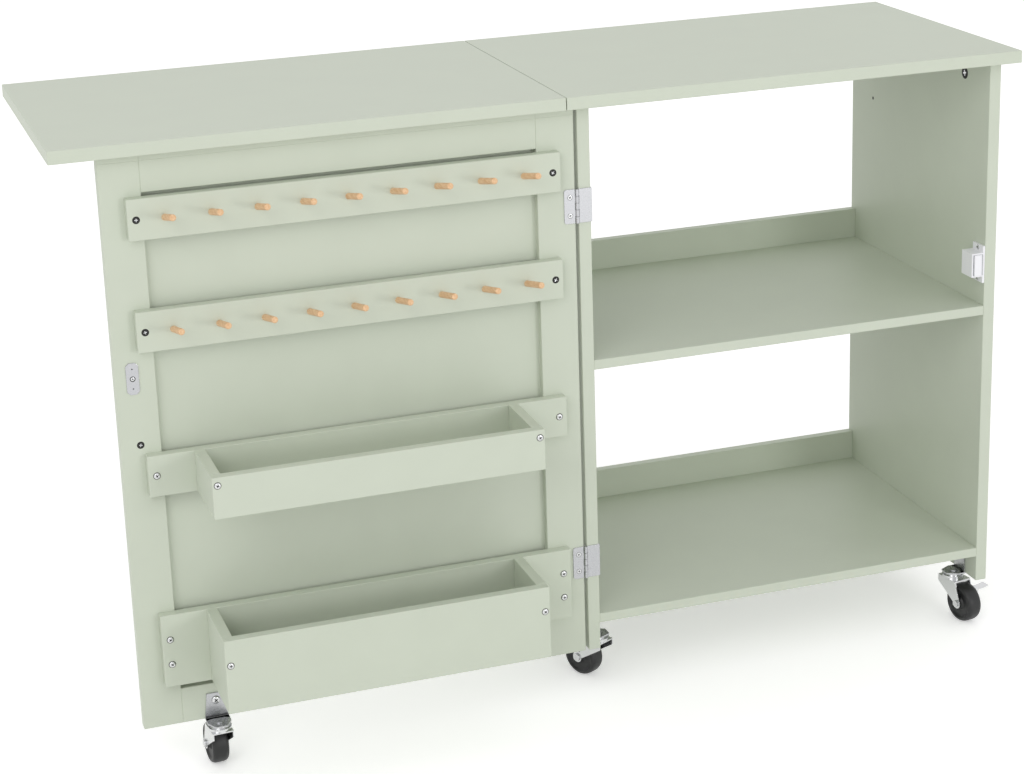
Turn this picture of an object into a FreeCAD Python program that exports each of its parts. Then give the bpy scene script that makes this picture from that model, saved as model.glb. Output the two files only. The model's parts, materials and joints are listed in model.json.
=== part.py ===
import FreeCAD, Part
import os
import re
import Sketcher

# Folding sewing cutting table: an open cabinet on casters, a door with spool rails, a tray and a
# bin, and a drop leaf that lies over the opened door. Millimetres. X runs along the opened
# worktop with the seam between top and leaf at X = 0, Y runs from front to back, and Z is up from
# the floor. Everything is drawn with the cabinet's front edges at Y = 0.

document = FreeCAD.newDocument("SewingTable")

dimensions = [
    # boards and the worktop
    ("overallHeight", 760, "floor to the worktop"),
    ("boardThick", 15, "top, leaf, side panels and door frame"),
    ("shelfThick", 12, "shelves, back rails and the boards on the door"),
    ("edgeEase", 0.5, "eased edge of every painted board"),
    ("topDepth", 385, "worktop, front to back"),
    ("leafLength", 588, "seam to the leaf's free end"),
    ("seamGap", 1, "gap between top and leaf"),
    ("sideOverhang", 18, "top beyond each side panel"),
    ("frontOverhang", 17.6, "top beyond the cabinet's front edges"),
    # cabinet
    ("cabinetWidth", 552, "outside of the side panels"),
    ("panelBottom", 60, "floor to the underside of the side panels and the door"),
    ("upperBayHeight", 310, "middle shelf to the underside of the top"),
    ("bottomShelfTop", 106, "floor to the bottom shelf's upper face"),
    ("backRailHeight", 40, "back rail above its shelf"),
    # door
    ("doorWidth", 548, "door, edge to edge"),
    ("hingeGap", 4.4, "door edge to the side panel's outer face"),
    ("hingeProud", 1.3, "hinge axis in front of the cabinet's front edges"),
    ("leafClearance", 9, "door's top edge at its inner face, below the leaf"),
    ("doorBevel", 7.5, "further drop of the door's top edge at its outer face"),
    ("stileWidth", 46, "door stiles"),
    ("topRailWidth", 36, "door's top rail"),
    ("bottomRailWidth", 44, "door's bottom rail"),
    ("doorPanelThick", 4, "thin panel in the door frame"),
    ("doorPanelRecess", 9, "panel behind the door's inner face"),
    ("grooveDepth", 5, "groove that holds the thin panel"),
    ("grooveClear", 0.5, "panel's edge to the bottom of its groove"),
    # spool rails
    ("spoolRailLength", 500, "rail across the door"),
    ("spoolRailInset", 27, "rail's left end from the door's free edge"),
    ("spoolRailHeight", 47, "spool rail, bottom to top"),
    ("upperRailGap", 3.7, "upper spool rail below the door's top rail"),
    ("railPitch", 128.3, "spool rail to spool rail"),
    ("pegCount", 9, "pegs on a rail"),
    ("pegPitch", 51.8, "peg to peg"),
    ("pegStart", 41, "first peg from the rail's left end"),
    ("pegRise", 23.5, "peg hole above the rail's bottom edge"),
    ("pegRadius", 3.7, "spool peg"),
    ("pegTilt", 13, "peg above the horizontal, degrees"),
    ("pegProud", 53, "peg beyond the rail's face"),
    ("pegSeat", 9, "peg inside the rail"),
    ("pegTip", 1.4, "chamfered end of a peg"),
    # tray and bin
    ("trayGap", 24, "tray below the middle shelf"),
    ("trayHeight", 49, "tray boards"),
    ("binBottom", 114, "floor to the bin"),
    ("binHeight", 89.5, "bin boards"),
    ("boxInset", 54, "box end from the back plate's left end"),
    ("boxLength", 385.5, "box, outside of its ends"),
    ("boxReach", 94, "back plate's face to the front board's face"),
    ("boxFloorThick", 4, "thin floor of tray and bin"),
    ("boxFloorLift", 5, "thin floor above the boards' bottom edges"),
    # door hinges
    ("hingeLeafThick", 1.2, "steel of the door hinges"),
    ("hingeLeafWidth", 16, "hinge axis to the door leaf's outer edge"),
    ("hingeHeight", 41, "door hinge along its pin"),
    ("upperHingeDrop", 97.5, "upper door hinge below the underside of the top"),
    ("lowerHingeBottom", 158, "floor to the lower door hinge"),
    ("knuckleRadius", 2.4, "door hinge knuckle"),
    ("knuckleClear", 0.3, "knuckle to its neighbour and to the other leaf"),
    ("pinRadius", 1.0, "door hinge pin"),
    ("pinClear", 0.05, "running fit round every pin and axle"),
    ("wrapDepth", 20, "cabinet leaf along the side panel's inner face"),
    # leaf hinges
    ("leafHingeDrop", 2.4, "leaf hinge axis below the worktop boards"),
    ("leafKnuckleRadius", 2.2, "leaf hinge knuckle"),
    ("leafPinRadius", 0.9, "leaf hinge pin"),
    ("leafPlateThick", 1.2, "steel of the leaf hinges"),
    ("leafPlateReach", 15.5, "leaf hinge axis to the plate's edge"),
    ("leafHingeLength", 50, "leaf hinge along its pin"),
    ("leafHingeStart", 60, "first leaf hinge behind the cabinet's front"),
    ("leafHingePitch", 125, "leaf hinge to leaf hinge"),
    ("leafHingeCount", 3, "leaf hinges"),
    # round pieces, which are cut with flat sides
    ("nutSides", 6, "sides of an axle nut"),
    ("smallSides", 12, "sides of pins, pegs, knuckles and their bores"),
    ("raceSides", 20, "sides of a ball race"),
    ("knobSides", 24, "sides of the knob and of the dish in a wheel"),
    ("wheelSides", 40, "sides of a wheel"),
    # magnetic catch and knob
    ("catchGap", 8, "catch below the lower spool rail"),
    ("catchHeight", 48, "catch base, bottom to top"),
    ("catchDepth", 26, "catch, front to back"),
    ("catchBodyHeight", 31, "raised body of the catch"),
    ("catchReach", 18, "catch body from the side panel's inner face"),
    ("catchBaseThick", 3, "catch base"),
    ("catchWall", 2.2, "wall round the magnet"),
    ("poleThick", 1.2, "pole plates of the catch"),
    ("polePlay", 0.2, "pole plates to the strike plate, door closed"),
    ("strikeWidth", 14.4, "strike plate"),
    ("strikeHeight", 37, "strike plate"),
    ("strikeThick", 1.2, "strike plate"),
    ("strikeCut", 3.6, "cut corners of the strike plate"),
    ("knobInset", 23, "knob's centre from the door's free edge"),
    ("knobDrop", 79.2, "knob's centre below the catch's centre"),
    ("knobRadius", 13, "knob"),
    ("knobReach", 24, "knob beyond the door's outer face"),
    ("knobNeck", 6.5, "knob's neck radius"),
    ("knobNeckLength", 10, "knob's neck"),
    ("knobBevel", 3.5, "bevel of the knob's head"),
    # casters
    ("wheelRadius", 25, "caster wheel"),
    ("wheelWidth", 20, "caster wheel"),
    ("hubRadius", 7.5, "wheel hub"),
    ("rimInside", 18.5, "inside of the wheel's rim"),
    ("dishDepth", 2.2, "web behind the rim's side face"),
    ("treadBevel", 3.5, "bevel of the wheel's shoulders"),
    ("axleRadius", 3, "caster axle"),
    ("axleHead", 5, "axle head and nut"),
    ("axleHeadThick", 2.4, "axle head and nut"),
    ("wheelSide", 1.2, "wheel to each fork cheek"),
    ("forkThick", 1.6, "pressed steel of the fork"),
    ("crownClear", 2, "wheel to the fork crown"),
    ("crownBack", 14, "fork crown behind the kingpin"),
    ("crownFront", 20, "fork crown in front of the kingpin"),
    ("cheekRadius", 7, "round end of a fork cheek at the axle"),
    ("trail", 24, "kingpin to axle"),
    ("raceRadius", 14, "ball race on the fork"),
    ("raceHeight", 5.4, "ball race"),
    ("raceStep", 3.2, "wide lower part of the ball race"),
    ("raceTopRadius", 11.2, "narrow upper part of the ball race"),
    ("swivelGap", 0.3, "ball race to the bracket"),
    ("kingpinRadius", 3, "riveted kingpin"),
    ("kingpinHead", 5.5, "kingpin's rivet heads"),
    ("bracketThick", 2, "caster brackets"),
    ("bracketWidth", 28, "bracket flange"),
    ("bracketNose", 13, "bracket flange beyond the kingpin"),
    ("kingpinHeadThick", 1.5, "kingpin's rivet heads"),
    ("bracketTopWidth", 21, "bracket plate at its upper end"),
    ("bracketTop", 92, "floor to the bracket's upper end"),
    ("cabinetKingpinInset", 11, "kingpin from the side panel's inner face"),
    ("frontKingpin", 40, "front kingpins behind the front edge"),
    ("backKingpin", 327, "back kingpins behind the front edge"),
    ("doorKingpinInset", 16, "kingpin in front of the door"),
    ("doorKingpinEdge", 85.4, "door's kingpin from its free edge"),
    ("pedalThick", 1.6, "brake pedal"),
    ("pedalWidth", 12, "brake pedal along its pivot"),
    ("pedalReach", 20, "pedal beyond its pivot"),
    ("pedalFlat", 12, "flat part of the pedal beyond its pivot"),
    ("pedalBarrel", 1.9, "pedal's barrel round its pivot"),
    ("pedalPivotHeight", 40, "floor to the pedal's pivot"),
    ("pedalPivotOut", 2.3, "pedal's pivot beyond the fork cheek"),
    ("pedalPinRadius", 0.9, "pedal's pivot pins"),
    ("pedalShoeDrop", 6.5, "brake shoe below the pivot"),
    ("lugThick", 2, "fork lugs that carry the pedal"),
    ("lugRadius", 2.6, "fork lugs round the pedal's pivot"),
    ("lugClear", 0.1, "pedal to each lug"),
    ("windowPlay", 0.6, "brake shoe to the window in the fork cheek"),
    ("doorCasterAngle", 94, "direction of each wheel from its kingpin, degrees"),
    ("frontRightAngle", -80, "front right wheel"),
    ("frontLeftAngle", 118, "front left wheel"),
    ("backRightAngle", 62, "back right wheel"),
    ("backLeftAngle", 100, "back left wheel"),
]

sheet = document.addObject("Spreadsheet::Sheet", "Sizes")
for row, (alias, size, meaning) in enumerate(dimensions, start=1):
    sheet.set("A%d" % row, meaning)
    sheet.set("B%d" % row, str(size))
    sheet.setAlias("B%d" % row, alias)
document.recompute()

# Places and sizes that follow from the driving ones.
derived = {
    "underTop": "overallHeight - boardThick",
    "topEnd": "2 * sideOverhang + cabinetWidth",
    "topBack": "topDepth - frontOverhang",
    "leftOuter": "sideOverhang",
    "leftInner": "sideOverhang + boardThick",
    "rightOuter": "sideOverhang + cabinetWidth",
    "rightInner": "rightOuter - boardThick",
    "hingeX": "leftOuter - hingeGap / 2",
    "hingeY": "0 - hingeProud",
    "doorRight": "leftOuter - hingeGap",
    "doorLeft": "doorRight - doorWidth",
    "doorTopFront": "underTop - leafClearance",
    "doorTopBack": "doorTopFront - doorBevel",
    "freeStileInner": "doorLeft + stileWidth",
    "hingeStileInner": "doorRight - stileWidth",
    "railSpan": "doorWidth - 2 * stileWidth",
    "panelFront": "doorPanelRecess",
    "panelBack": "doorPanelRecess + doorPanelThick",
    "railLeft": "doorLeft + spoolRailInset",
    "boxLeft": "railLeft + boxInset",
    "boxRight": "boxLeft + boxLength",
    "plateFace": "0 - shelfThick",
    "boxFace": "plateFace - boxReach",
    "leafHingeZ": "underTop - leafHingeDrop",
    "kingpinLeftX": "leftInner + cabinetKingpinInset",
    "kingpinRightX": "rightInner - cabinetKingpinInset",
    "doorKingpinX": "doorLeft + doorKingpinEdge",
    "doorKingpinY": "0 - doorKingpinInset",
    "crownUnder": "2 * wheelRadius + crownClear",
    "crownTop": "crownUnder + forkThick",
    "raceTop": "crownTop + raceHeight",
    "flangeUnder": "raceTop + swivelGap",
    "forkWide": "wheelWidth + 2 * wheelSide + 2 * forkThick",
    "forkInside": "wheelWidth + 2 * wheelSide",
    "catchMiddle": "catchLow + catchHeight / 2",
    "strikeLeft": "2 * hingeX - rightInner + catchReach / 2 - strikeWidth / 2",
    "poleFront": "2 * hingeY + strikeThick + polePlay",
    "knobX": "doorLeft + knobInset",
    "doorHingeFace": "hingeProud - hingeLeafThick",
    "leafHingeFace": "leafHingeDrop - leafPlateThick",
    "wrapFace": "leftInner + hingeLeafThick",
    "pinBore": "(pinRadius + pinClear) * boreCorner",
    "leafPinBore": "(leafPinRadius + pinClear) * boreCorner",
    "pedalPivotY": "forkWide / 2 + pedalPivotOut",
    "pedalStart": "trail - pedalWidth / 2",
    "catchLeft": "rightInner - catchReach",
    "catchBodyLow": "catchMiddle - catchBodyHeight / 2",
    "catchBodyHigh": "catchMiddle + catchBodyHeight / 2",
    "magnetDepth": "catchDepth / 2",
    "magnetLeft": "catchLeft + catchWall",
    "magnetRight": "rightInner - catchBaseThick",
    "magnetLow": "catchBodyLow + catchWall",
    "magnetHigh": "catchBodyHigh - catchWall",
    "strikeRight": "strikeLeft + strikeWidth",
    "strikeLow": "catchMiddle - strikeHeight / 2",
    "strikeHigh": "catchMiddle + strikeHeight / 2",
    "topRailEdge": "doorTopFront - topRailWidth",
    "bottomRailEdge": "panelBottom + bottomRailWidth",
    "panelSeat": "grooveDepth - grooveClear",
    "wheelCorner": "wheelRadius / cos(180 deg / wheelSides)",
    "boreCorner": "1 / cos(180 deg / smallSides)",
    "backWheelReach": "(trail + wheelRadius) * sin(backLeftAngle * 1 deg)",
    "backWheelSide": "(wheelWidth / 2 - treadBevel) * abs(cos(backLeftAngle * 1 deg))",
    "backEnd": "backKingpin + backWheelReach + backWheelSide",
    "middleY": "(boxFace + backEnd) / 2",
    "middleShelfTop": "underTop - upperBayHeight",
    "upperRailBottom": "doorTopFront - topRailWidth - upperRailGap - spoolRailHeight",
    "lowerRailBottom": "upperRailBottom - railPitch",
    "trayBottom": "middleShelfTop - shelfThick - trayGap - trayHeight",
    "upperHingeBottom": "underTop - upperHingeDrop - hingeHeight",
    "catchLow": "lowerRailBottom - catchGap - catchHeight",
    "knobHeight": "catchMiddle - knobDrop",
    "shelfBack": "topBack - shelfThick",
}
driving = {alias for alias, size, meaning in dimensions}
touching = 1e-4
leastCut = 1e-6


def fromSheet(text):
    # an expression on the spreadsheet, with every derived name written out
    def write(match):
        word = match.group()
        if word in derived:
            return "(" + fromSheet(derived[word]) + ")"
        return "Sizes." + word if word in driving else word
    return re.sub(r"[A-Za-z]\w*", write, text)


def value(text):
    return float(sheet.evalExpression(fromSheet(text)))


def placeAt(item, where, axis=None, angle="0"):
    if axis:
        item.Placement = FreeCAD.Placement(FreeCAD.Vector(), FreeCAD.Rotation(FreeCAD.Vector(*axis), 1))
        item.setExpression("Placement.Rotation.Angle", fromSheet(angle))
    for letter, text in zip("xyz", where):
        item.setExpression("Placement.Base." + letter, fromSheet(text))


def newBody(name):
    body = document.addObject("PartDesign::Body", name)
    body.AllowCompound = True
    return body


def originPart(body, role):
    return next(item for item in body.Origin.OriginFeatures if item.Role == role)


def newSketch(body, role, low):
    # a sketch on one of the body's planes, moved off it to low on the axis across the plane
    sketch = body.newObject("Sketcher::SketchObject", body.Name + "Sketch")
    sketch.AttachmentSupport = [(originPart(body, role), "")]
    sketch.MapMode = "FlatFace"
    sign = "0 - " if role == "XZ_Plane" else ""
    sketch.setExpression("AttachmentOffset.Base.z", fromSheet("%s(%s)" % (sign, low)))
    return sketch


def tie(sketch, kind, where, text):
    index = sketch.addConstraint(Sketcher.Constraint(kind, *where, value(text)))
    sketch.setExpression("Constraints[%d]" % index, fromSheet(text))


def outline(sketch, corners):
    # a closed outline of straight edges, each corner tied to the sheet
    points = [FreeCAD.Vector(value(across), value(up), 0) for across, up in corners]
    first = sketch.GeometryCount
    count = len(points)
    for number in range(count):
        sketch.addGeometry(Part.LineSegment(points[number], points[(number + 1) % count]), False)
    for number in range(count):
        following = first + (number + 1) % count
        sketch.addConstraint(Sketcher.Constraint("Coincident", first + number, 2, following, 1))
    for number, (across, up) in enumerate(corners, start=first):
        tie(sketch, "DistanceX", (-1, 1, number, 1), across)
        tie(sketch, "DistanceY", (-1, 1, number, 1), up)


def rectangle(left, right, low, high):
    return [(left, low), (right, low), (right, high), (left, high)]


def ring(sides, radius, across="0", up="0"):
    # the corners of a regular polygon inside a circle
    count = int(value(sides))
    angles = [(number + 0.5) * 360 / count for number in range(count)]
    return [("%s + (%s) * cos(%g deg)" % (across, radius, angle),
             "%s + (%s) * sin(%g deg)" % (up, radius, angle)) for angle in angles]


def prism(body, kind, role, outlines, low, length):
    # runs from low towards +X, +Y or +Z, whichever axis crosses the plane
    sketch = newSketch(body, role, low)
    for corners in outlines:
        outline(sketch, corners)
    feature = body.newObject("PartDesign::" + kind, body.Name + kind)
    feature.Profile = sketch
    feature.setExpression("Length", fromSheet(length))
    feature.Reversed = (kind == "Pad") == (role == "XZ_Plane")
    sketch.Visibility = False


def add(body, role, corners, low, length):
    prism(body, "Pad", role, [corners], low, length)


def cut(body, role, corners, low, length, island=None):
    # an island inside the outline stays; a cut that removes nothing stops the build
    document.recompute()
    before = body.Shape.Volume
    prism(body, "Pocket", role, [corners, island] if island else [corners], low, length)
    document.recompute()
    if body.Shape.Volume > before - leastCut:
        raise RuntimeError("nothing cut in " + body.Label)


def outerEdges(shape):
    # the edges that lie on two faces of the shape's own box
    box = shape.BoundBox
    limits = [(box.XMin, box.XMax), (box.YMin, box.YMax), (box.ZMin, box.ZMax)]
    found = []
    for number, edge in enumerate(shape.Edges, start=1):
        middle = edge.CenterOfMass
        on = [min(abs(at - low), abs(at - high)) < touching for at, (low, high) in zip(middle, limits)]
        if sum(on) >= 2:
            found.append("Edge%d" % number)
    return found


def endEdges(shape, axis, ends):
    # the edges in the first or last plane that crosses the shape along an axis
    found = []
    for number, edge in enumerate(shape.Edges, start=1):
        places = [getattr(vertex.Point, axis.lower()) for vertex in edge.Vertexes]
        for end in ends:
            limit = getattr(shape.BoundBox, axis + end)
            if all(abs(place - limit) < touching for place in places):
                found.append("Edge%d" % number)
    return found


def chamfer(body, size, pick, *how):
    # cuts the edges that pick finds
    document.recompute()
    base = body.Tip
    feature = body.newObject("PartDesign::Chamfer", body.Name + "Chamfer")
    feature.Base = (base, pick(base.Shape, *how))
    feature.setExpression("Size", fromSheet(size))


def board(name, role, corners, low, thick):
    # a board of even thickness with eased edges
    body = newBody(name)
    add(body, role, corners, low, thick)
    chamfer(body, "edgeEase", outerEdges)
    return body


def copy(master, name, where, axis=None, angle="0"):
    link = document.addObject("App::Link", name)
    link.LinkedObject = master
    placeAt(link, where, axis, angle)
    return link


def together(name, members):
    group = document.addObject("Part::Compound", name)
    group.Links = members
    return group


def copies(name, master, places, axis=None, angle="0"):
    links = [copy(master, "%sCopy%d" % (name, number), where, axis, angle)
             for number, where in enumerate(places, start=1)]
    return together(name, links)


def bored(name, base, tool):
    # the piece with room for what sits in it
    cut = document.addObject("Part::Cut", name)
    cut.Base = base
    cut.Tool = tool
    return cut


# Turns that bring a piece's own Z axis to face the front or the back.
toFront = ((1, 0, 0), "90")
toBack = ((-1, 0, 0), "90")
upright = (0, 0, 1)
downward = (0, 0, -1)
pieces = {}


# ---- cabinet boards ----
def sidePanel(name, left):
    return board(name, "YZ_Plane", rectangle("0", "topBack", "panelBottom", "underTop"), left, "boardThick")


def shelf(name, top):
    corners = rectangle("leftInner", "rightInner", "0", "shelfBack")
    return board(name, "XY_Plane", corners, top + " - shelfThick", "shelfThick")


def backRail(name, shelfTop):
    # stands behind its shelf and rises above it
    corners = rectangle("leftInner", "rightInner", shelfTop + " - shelfThick", shelfTop + " + backRailHeight")
    return board(name, "XZ_Plane", corners, "shelfBack", "shelfThick")


def worktopBoard(name, left, right):
    corners = rectangle(left, right, "0 - frontOverhang", "topBack")
    return board(name, "XY_Plane", corners, "underTop", "boardThick")


pieces["side_panel_left"] = sidePanel("leftPanelBoard", "leftOuter")
pieces["side_panel_right"] = sidePanel("rightPanelBoard", "rightInner")
pieces["middle_shelf"] = shelf("middleShelfBoard", "middleShelfTop")
pieces["bottom_shelf"] = shelf("bottomShelfBoard", "bottomShelfTop")
pieces["middle_back_rail"] = backRail("middleRailBoard", "middleShelfTop")
pieces["bottom_back_rail"] = backRail("bottomRailBoard", "bottomShelfTop")
pieces["top_panel"] = worktopBoard("topBoard", "seamGap / 2", "topEnd")
pieces["drop_leaf"] = worktopBoard("leafBoard", "0 - leafLength", "0 - seamGap / 2")


# ---- hinges ----
def knuckleEnds(number, count, length):
    low = "0" if number == 0 else "%s * %d / %d + knuckleClear / 2" % (length, number, count)
    high = length if number == count - 1 else "%s * %d / %d - knuckleClear / 2" % (length, number + 1, count)
    return low, high


def comb(own, count, length, reach, clear):
    # a hinge leaf's outline: a plate from clear to reach, with a tongue at each knuckle of its own
    corners = [(reach, "0"), (reach, length)]
    if count - 1 not in own:
        corners.append((clear, length))
    for number in sorted(own, reverse=True):
        low, high = knuckleEnds(number, count, length)
        if number < count - 1:
            corners.append((clear, high))
        corners += [("0", high), ("0", low)]
        if number > 0:
            corners.append((clear, low))
    if 0 not in own:
        corners.append((clear, "0"))
    return corners


def hingeLeaf(name, own, count, length, reach, face, thick, radius, bore, side):
    # one leaf of a butt hinge about its own Z axis; side is "" towards +X or "0 - " towards -X
    body = newBody(name)
    corners = comb(own, count, length, side + reach, "%s(%s + knuckleClear)" % (side, radius))
    add(body, "XZ_Plane", corners, face, thick)
    for number in own:
        low, high = knuckleEnds(number, count, length)
        add(body, "XY_Plane", ring("smallSides", radius), low, "(%s) - (%s)" % (high, low))
    cut(body, "XY_Plane", ring("smallSides", bore), "0", length)
    return body


def hingePin(name, radius, length):
    body = newBody(name)
    add(body, "XY_Plane", ring("smallSides", radius), "0", length)
    return body


doorLeafMaster = hingeLeaf("doorLeafMaster", (1, 3), 5, "hingeHeight", "hingeLeafWidth",
                           "doorHingeFace", "hingeLeafThick", "knuckleRadius", "pinBore", "0 - ")
cabinetLeafMaster = hingeLeaf("cabinetLeafMaster", (0, 2, 4), 5, "hingeHeight", "(leftInner - hingeX)",
                              "doorHingeFace", "hingeLeafThick", "knuckleRadius", "pinBore", "")
# The cabinet leaf turns round the side panel's edge and lies on its inner face.
wrap = rectangle("leftInner - hingeX", "wrapFace - hingeX", "doorHingeFace", "hingeProud + wrapDepth")
add(cabinetLeafMaster, "XY_Plane", wrap, "0", "hingeHeight")
doorPinMaster = hingePin("doorPinMaster", "pinRadius", "hingeHeight")
hingeSpots = [("hingeX", "hingeY", low) for low in ("upperHingeBottom", "lowerHingeBottom")]
pieces["cabinet_hinge_leaves"] = copies("cabinetHingePair", cabinetLeafMaster, hingeSpots)
pieces["door_hinge_leaves"] = copies("doorHingePair", doorLeafMaster, hingeSpots)

fixedPlateMaster = hingeLeaf("fixedPlateMaster", (0, 2), 3, "leafHingeLength", "leafPlateReach",
                             "leafHingeFace", "leafPlateThick", "leafKnuckleRadius", "leafPinBore", "")
movingPlateMaster = hingeLeaf("movingPlateMaster", (1,), 3, "leafHingeLength", "leafPlateReach",
                              "leafHingeFace", "leafPlateThick", "leafKnuckleRadius", "leafPinBore", "0 - ")
leafPinMaster = hingePin("leafPinMaster", "leafPinRadius", "leafHingeLength")
leafSpots = [("0", "leafHingeStart + leafHingePitch * %d + leafHingeLength" % number, "leafHingeZ")
             for number in range(int(value("leafHingeCount")))]
pieces["leaf_hinge_fixed_plates"] = copies("fixedPlates", fixedPlateMaster, leafSpots, *toFront)
pieces["leaf_hinge_moving_plates"] = copies("movingPlates", movingPlateMaster, leafSpots, *toFront)
doorPins = copies("doorPins", doorPinMaster, hingeSpots)
leafPins = copies("leafPins", leafPinMaster, leafSpots, *toFront)
pieces["hinge_pins"] = together("hingePins", [doorPins, leafPins])

# ---- magnetic catch: a magnet between two pole plates in a plastic housing ----
catchBody = newBody("catchBody")
base = rectangle("0", "catchDepth", "catchLow", "catchLow + catchHeight")
add(catchBody, "YZ_Plane", base, "magnetRight", "catchBaseThick")
raised = rectangle("0", "catchDepth", "catchBodyLow", "catchBodyHigh")
add(catchBody, "YZ_Plane", raised, "catchLeft", "catchReach")
cavity = rectangle("magnetLeft", "magnetRight", "magnetLow", "magnetHigh")
cut(catchBody, "XZ_Plane", cavity, "0", "magnetDepth")
pieces["catch_housing"] = catchBody
poleBody = newBody("poleBody")
for left in ("magnetLeft", "magnetRight - poleThick"):
    pole = rectangle(left, left + " + poleThick", "magnetLow", "magnetHigh")
    add(poleBody, "XZ_Plane", pole, "poleFront", "magnetDepth - (poleFront)")
pieces["catch_pole_plates"] = poleBody
magnetBody = newBody("magnetBody")
magnet = rectangle("magnetLeft + poleThick", "magnetRight - poleThick", "magnetLow", "magnetHigh")
add(magnetBody, "XZ_Plane", magnet, "0", "magnetDepth")
pieces["catch_magnet"] = magnetBody

# ---- casters, built with the kingpin on their own Z axis and the wheel towards +X ----
axleAt = ("trail", "wheelRadius")
pivotAt = ("pedalPivotY", "pedalPivotHeight")


def casterBracket(name, inset):
    # an angle bracket with its riveted kingpin; its plate stands against the board at Y = inset
    body = newBody(name)
    half = "bracketWidth / 2"
    nose = "bracketWidth / 4"
    flange = [("0 - " + half, inset), ("0 - " + half, "0"), ("0 - " + nose, "0 - bracketNose"),
              (nose, "0 - bracketNose"), (half, "0"), (half, inset)]
    add(body, "XY_Plane", flange, "flangeUnder", "bracketThick")
    plate = [("0 - " + half, "flangeUnder"), (half, "flangeUnder"),
             ("bracketTopWidth / 2", "bracketTop"), ("0 - bracketTopWidth / 2", "bracketTop")]
    add(body, "XZ_Plane", plate, inset + " - bracketThick", "bracketThick")
    lowHead = "(crownUnder - pinClear)"
    stages = [("kingpinHead", lowHead + " - kingpinHeadThick", "kingpinHeadThick"),
              ("kingpinRadius", lowHead, "flangeUnder - " + lowHead),
              ("kingpinHead", "flangeUnder + bracketThick", "kingpinHeadThick")]
    for radius, low, length in stages:
        add(body, "XY_Plane", ring("smallSides", radius), low, length)
    return body


def casterFork(name, braked):
    # a folded yoke with a stepped ball race on its crown
    body = newBody(name)
    cheek = [("0 - crownBack", "crownTop"), ("crownFront", "crownTop"),
             ("trail + cheekRadius", "wheelRadius"), ("trail - cheekRadius", "wheelRadius"),
             ("0 - crownBack", "crownUnder - cheekRadius")]
    for corners in (cheek, ring("smallSides", "cheekRadius", *axleAt)):
        add(body, "XZ_Plane", corners, "0 - forkWide / 2", "forkWide")
    inside = rectangle("0 - 2 * crownBack", "trail + 2 * wheelRadius", "0", "crownUnder")
    cut(body, "XZ_Plane", inside, "0 - forkInside / 2", "forkInside")
    add(body, "XY_Plane", ring("raceSides", "raceRadius"), "crownTop", "raceStep")
    add(body, "XY_Plane", ring("raceSides", "raceTopRadius"), "crownTop + raceStep", "raceHeight - raceStep")
    cut(body, "XZ_Plane", ring("smallSides", "axleRadius", *axleAt), "0 - forkWide / 2", "forkWide")
    kingpinBore = ring("smallSides", "(kingpinRadius + pinClear) * boreCorner")
    cut(body, "XY_Plane", kingpinBore, "crownUnder", "raceTop - crownUnder")
    if braked:
        addBrakeSeat(body)
    return body


def addBrakeSeat(body):
    # two lugs and a pin on a cheek carry the pedal, and its shoe goes in through a window
    lug = rectangle("forkWide / 2", "pedalPivotY", "pedalPivotHeight - lugRadius",
                    "pedalPivotHeight + lugRadius")
    for low in ("pedalStart - lugThick - lugClear", "pedalStart + pedalWidth + lugClear"):
        add(body, "YZ_Plane", lug, low, "lugThick")
        add(body, "YZ_Plane", ring("smallSides", "lugRadius", *pivotAt), low, "lugThick")
    pin = ring("smallSides", "pedalPinRadius", *pivotAt)
    add(body, "YZ_Plane", pin, "pedalStart - lugThick", "pedalWidth + 2 * lugThick")
    window = rectangle("pedalStart + lugThick - windowPlay",
                       "pedalStart + pedalWidth - lugThick + windowPlay",
                       "pedalPivotHeight - pedalShoeDrop - windowPlay", "pedalPivotHeight")
    cut(body, "XZ_Plane", window, "forkInside / 2 - forkThick / 2", "2 * forkThick")


def casterPedal(name):
    # a stamped step plate on a barrel, with a brake shoe that swings in through the cheek's window
    body = newBody(name)
    under = "pedalPivotHeight - pedalThick / 2"
    step = [("pedalPivotY", under), ("pedalPivotY + pedalFlat", under),
            ("pedalPivotY + pedalReach", under + " + pedalThick"),
            ("pedalPivotY + pedalReach", under + " + 2 * pedalThick"),
            ("pedalPivotY + pedalFlat", under + " + pedalThick"), ("pedalPivotY", under + " + pedalThick")]
    add(body, "YZ_Plane", step, "pedalStart", "pedalWidth")
    add(body, "YZ_Plane", ring("smallSides", "pedalBarrel", *pivotAt), "pedalStart", "pedalWidth")
    shoe = rectangle("pedalPivotY - pedalBarrel", "pedalPivotY", "pedalPivotHeight - pedalShoeDrop",
                     "pedalPivotHeight")
    add(body, "YZ_Plane", shoe, "pedalStart + lugThick", "pedalWidth - 2 * lugThick")
    bore = ring("smallSides", "(pedalPinRadius + pinClear) * boreCorner", *pivotAt)
    cut(body, "YZ_Plane", bore, "pedalStart", "pedalWidth")
    return body


def casterWheel(name):
    # a bevelled tyre, dished on both sides round a hub with a running bore
    body = newBody(name)
    side = "wheelWidth / 2"
    add(body, "XZ_Plane", ring("wheelSides", "wheelCorner", *axleAt), "0 - " + side, "wheelWidth")
    chamfer(body, "treadBevel", endEdges, "Y", ("Min", "Max"))
    hub = ring("smallSides", "hubRadius", *axleAt)
    for low in ("0 - " + side, side + " - dishDepth"):
        cut(body, "XZ_Plane", ring("knobSides", "rimInside", *axleAt), low, "dishDepth", island=hub)
    bore = ring("smallSides", "(axleRadius + pinClear) * boreCorner", *axleAt)
    cut(body, "XZ_Plane", bore, "0 - " + side, "wheelWidth")
    return body


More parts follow.
